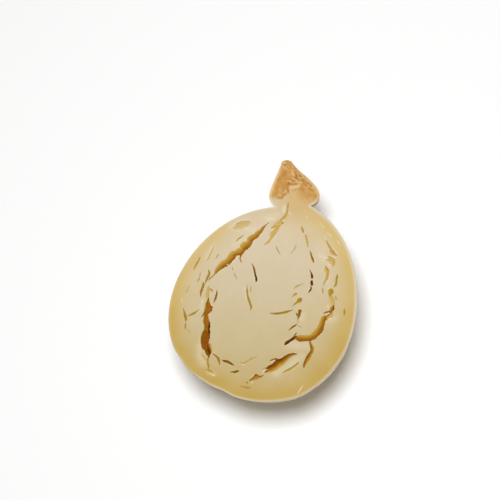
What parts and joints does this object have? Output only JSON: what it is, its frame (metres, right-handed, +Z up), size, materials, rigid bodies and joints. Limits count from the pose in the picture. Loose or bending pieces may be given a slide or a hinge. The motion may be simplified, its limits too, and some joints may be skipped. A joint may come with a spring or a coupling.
{
  "type": "caciocavallo half",
  "caption": "Half of a pear-shaped stretched-curd cheese with a small head above its neck, lying on its round back with the torn, layered cut face up.",
  "frame": {"origin": "middle of the small flat spot on the round back that the half rests on", "axes": "+X across the cut face, +Y from the base to the head, +Z up out of the cut face"},
  "size_m": [0.151, 0.1968, 0.073],
  "materials": {
    "cheese": "moist ivory paste in a golden ring, under a thin smooth beige rind"
  },
  "bodies": {
    "root": {"cheese_half": "cheese"}
  },
  "joints": []
}
